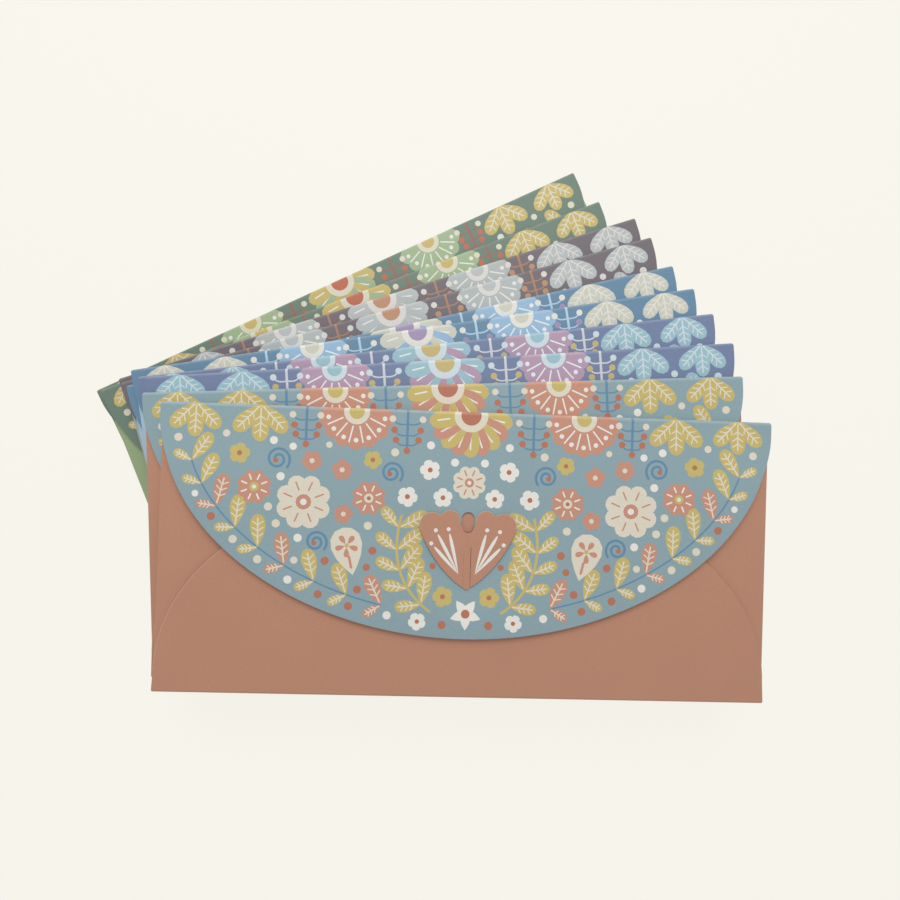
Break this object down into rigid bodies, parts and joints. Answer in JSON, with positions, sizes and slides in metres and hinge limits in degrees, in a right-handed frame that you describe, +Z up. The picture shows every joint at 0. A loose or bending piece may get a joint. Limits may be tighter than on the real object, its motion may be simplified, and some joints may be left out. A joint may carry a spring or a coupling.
{
  "type": "money envelope set",
  "caption": "Fanned set of flat card money envelopes in paired colours, each with a curved closing flap held by a two-winged tuck clasp.",
  "frame": {"origin": "middle of the whole fanned set's footprint, on the plane that the lowest envelope rests on", "axes": "+X along the top envelope's long edge, +Y towards its hinged top fold, +Z up, out of its printed flap"},
  "size_m": [0.2156, 0.1716, 0.0297],
  "materials": {
    "green_flap_card": "printed, matt",
    "green_body_card": "tinted, matt",
    "brown_flap_card": "printed, matt",
    "brown_body_card": "tinted, matt",
    "blue_flap_card": "printed, matt",
    "blue_body_card": "tinted, matt",
    "violet_flap_card": "printed, matt",
    "violet_body_card": "tinted, matt",
    "teal_flap_card": "printed, matt",
    "teal_body_card": "tinted, matt",
    "glue": "dried glue"
  },
  "bodies": {
    "green_lower": {"green_lower_back_panel": "green_body_card", "green_lower_side_flap_left": "green_body_card", "green_lower_side_flap_right": "green_body_card", "green_lower_pocket_panel": "green_body_card", "green_lower_closing_flap": "green_flap_card"},
    "green_upper": {"green_upper_back_panel": "green_body_card", "green_upper_side_flap_left": "green_body_card", "green_upper_side_flap_right": "green_body_card", "green_upper_pocket_panel": "green_body_card", "green_upper_closing_flap": "green_flap_card"},
    "brown_lower": {"brown_lower_back_panel": "brown_body_card", "brown_lower_side_flap_left": "brown_body_card", "brown_lower_side_flap_right": "brown_body_card", "brown_lower_pocket_panel": "brown_body_card", "brown_lower_closing_flap": "brown_flap_card"},
    "brown_upper": {"brown_upper_back_panel": "brown_body_card", "brown_upper_side_flap_left": "brown_body_card", "brown_upper_side_flap_right": "brown_body_card", "brown_upper_pocket_panel": "brown_body_card", "brown_upper_closing_flap": "brown_flap_card"},
    "blue_lower": {"blue_lower_back_panel": "blue_body_card", "blue_lower_side_flap_left": "blue_body_card", "blue_lower_side_flap_right": "blue_body_card", "blue_lower_pocket_panel": "blue_body_card", "blue_lower_closing_flap": "blue_flap_card"},
    "blue_upper": {"blue_upper_back_panel": "blue_body_card", "blue_upper_side_flap_left": "blue_body_card", "blue_upper_side_flap_right": "blue_body_card", "blue_upper_pocket_panel": "blue_body_card", "blue_upper_closing_flap": "blue_flap_card"},
    "violet_lower": {"violet_lower_back_panel": "violet_body_card", "violet_lower_side_flap_left": "violet_body_card", "violet_lower_side_flap_right": "violet_body_card", "violet_lower_pocket_panel": "violet_body_card", "violet_lower_closing_flap": "violet_flap_card"},
    "violet_upper": {"violet_upper_back_panel": "violet_body_card", "violet_upper_side_flap_left": "violet_body_card", "violet_upper_side_flap_right": "violet_body_card", "violet_upper_pocket_panel": "violet_body_card", "violet_upper_closing_flap": "violet_flap_card"},
    "teal_lower": {"teal_lower_back_panel": "teal_body_card", "teal_lower_side_flap_left": "teal_body_card", "teal_lower_side_flap_right": "teal_body_card", "teal_lower_pocket_panel": "teal_body_card", "teal_lower_closing_flap": "teal_flap_card"},
    "teal_upper": {"teal_upper_back_panel": "teal_body_card", "teal_upper_side_flap_left": "teal_body_card", "teal_upper_side_flap_right": "teal_body_card", "teal_upper_pocket_panel": "teal_body_card", "teal_upper_glue_left": "glue", "teal_upper_glue_right": "glue", "teal_upper_top_fold": "teal_flap_card"},
    "front_flap": {"teal_upper_closing_flap": "teal_flap_card"},
    "clasp_wing_left": {"teal_upper_clasp_wing_left": "teal_body_card"},
    "clasp_wing_right": {"teal_upper_clasp_wing_right": "teal_body_card"}
  },
  "joints": [
    {"name": "fan_green_upper", "type": "hinge", "parent": "green_lower", "child": "green_upper", "pos_m": [-0.06419, -0.0778, 0.003], "axis": [0, 0, 1], "range_deg": [0, 3.89]},
    {"name": "fan_brown_lower", "type": "hinge", "parent": "green_lower", "child": "brown_lower", "pos_m": [-0.06419, -0.0778, 0.006], "axis": [0, 0, 1], "range_deg": [0, 7.4]},
    {"name": "fan_brown_upper", "type": "hinge", "parent": "green_lower", "child": "brown_upper", "pos_m": [-0.06419, -0.0778, 0.009], "axis": [0, 0, 1], "range_deg": [0, 9.36]},
    {"name": "fan_blue_lower", "type": "hinge", "parent": "green_lower", "child": "blue_lower", "pos_m": [-0.06419, -0.0778, 0.012], "axis": [0, 0, 1], "range_deg": [0, 12.4]},
    {"name": "fan_blue_upper", "type": "hinge", "parent": "green_lower", "child": "blue_upper", "pos_m": [-0.06419, -0.0778, 0.015], "axis": [0, 0, 1], "range_deg": [0, 16.59]},
    {"name": "fan_violet_lower", "type": "hinge", "parent": "green_lower", "child": "violet_lower", "pos_m": [-0.06419, -0.0778, 0.018], "axis": [0, 0, 1], "range_deg": [0, 18.63]},
    {"name": "fan_violet_upper", "type": "hinge", "parent": "green_lower", "child": "violet_upper", "pos_m": [-0.06419, -0.0778, 0.021], "axis": [0, 0, 1], "range_deg": [0, 21.68]},
    {"name": "fan_teal_lower", "type": "hinge", "parent": "green_lower", "child": "teal_lower", "pos_m": [-0.06419, -0.0778, 0.024], "axis": [0, 0, 1], "range_deg": [0, 23.49]},
    {"name": "fan_teal_upper", "type": "hinge", "parent": "green_lower", "child": "teal_upper", "pos_m": [-0.06419, -0.0778, 0.027], "axis": [0, 0, 1], "range_deg": [0, 27.2]},
    {"name": "front_flap_hinge", "type": "hinge", "parent": "teal_upper", "child": "front_flap", "pos_m": [-0.07219, -0.00265, 0.02805], "axis": [-1, 0, 0], "range_deg": [0, 170], "deforming": ["teal_upper_top_fold", "teal_upper_clasp_wing_left", "teal_upper_clasp_wing_right"]},
    {"name": "clasp_wing_left_crease", "type": "hinge", "parent": "teal_upper", "child": "clasp_wing_left", "pos_m": [0.01681, -0.05369, 0.02955], "axis": [0, 1, 0], "range_deg": [0, 90]},
    {"name": "clasp_wing_right_crease", "type": "hinge", "parent": "teal_upper", "child": "clasp_wing_right", "pos_m": [0.01881, -0.05369, 0.02955], "axis": [0, -1, 0], "range_deg": [0, 90]}
  ]
}
